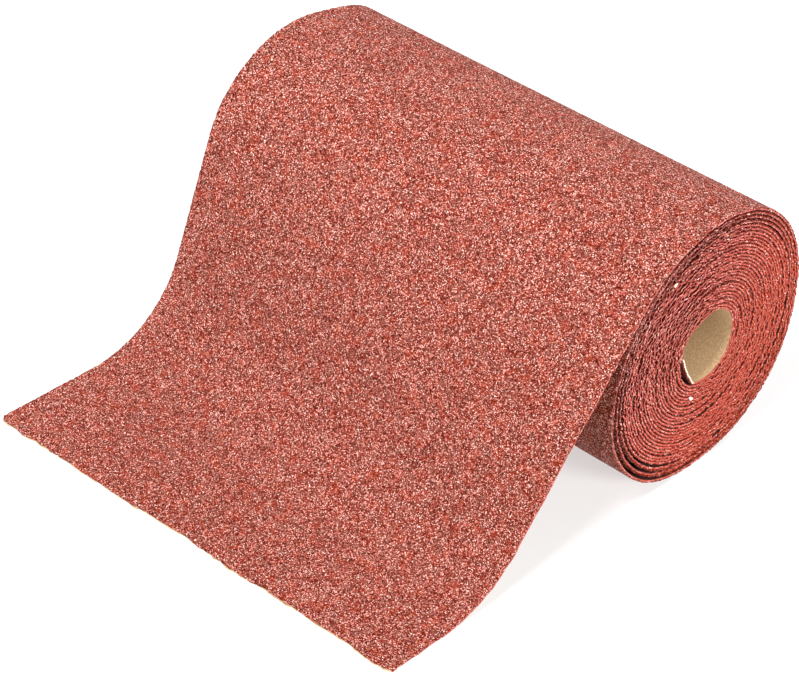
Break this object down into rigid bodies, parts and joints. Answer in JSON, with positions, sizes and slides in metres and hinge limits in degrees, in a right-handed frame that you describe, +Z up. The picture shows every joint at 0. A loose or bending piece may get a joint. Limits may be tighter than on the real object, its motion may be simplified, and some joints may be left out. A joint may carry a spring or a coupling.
{
  "type": "coarse abrasive paper roll",
  "caption": "Coreless roll of coarse red abrasive paper, wound grit side out, with its free end drawn off the top and lying on the bench.",
  "frame": {"origin": "on the bench, in the middle of the object's bounding box", "axes": "+X along the roll's axis, -Y the way the free leaf runs out, +Z up"},
  "size_m": [0.115, 0.1282, 0.0634],
  "materials": {
    "abrasive_coat": "matte",
    "backing_paper": "matte",
    "wound_strip": "matte"
  },
  "bodies": {
    "loose_wrap": {"outer_turn_paper": "backing_paper", "outer_turn_coat": "abrasive_coat", "second_turn_paper": "backing_paper", "second_turn_coat": "abrasive_coat", "third_turn_paper": "backing_paper", "third_turn_coat": "abrasive_coat"},
    "wound_pack": {"wound_turns": "wound_strip", "innermost_turn_paper": "backing_paper", "innermost_turn_coat": "abrasive_coat", "inner_end_flap_paper": "backing_paper", "inner_end_flap_coat": "abrasive_coat"},
    "free_leaf": {"free_leaf_paper": "backing_paper", "free_leaf_coat": "abrasive_coat"}
  },
  "joints": [
    {"name": "roll_turn", "type": "hinge", "parent": "loose_wrap", "child": "wound_pack", "pos_m": [0, 0.03241, 0.03168], "axis": [1, 0, 0], "continuous": true},
    {"name": "leaf_lift", "type": "hinge", "parent": "loose_wrap", "child": "free_leaf", "pos_m": [0, 0.00641, 0.0494], "axis": [-1, 0, 0], "range_deg": [0, 75]}
  ]
}
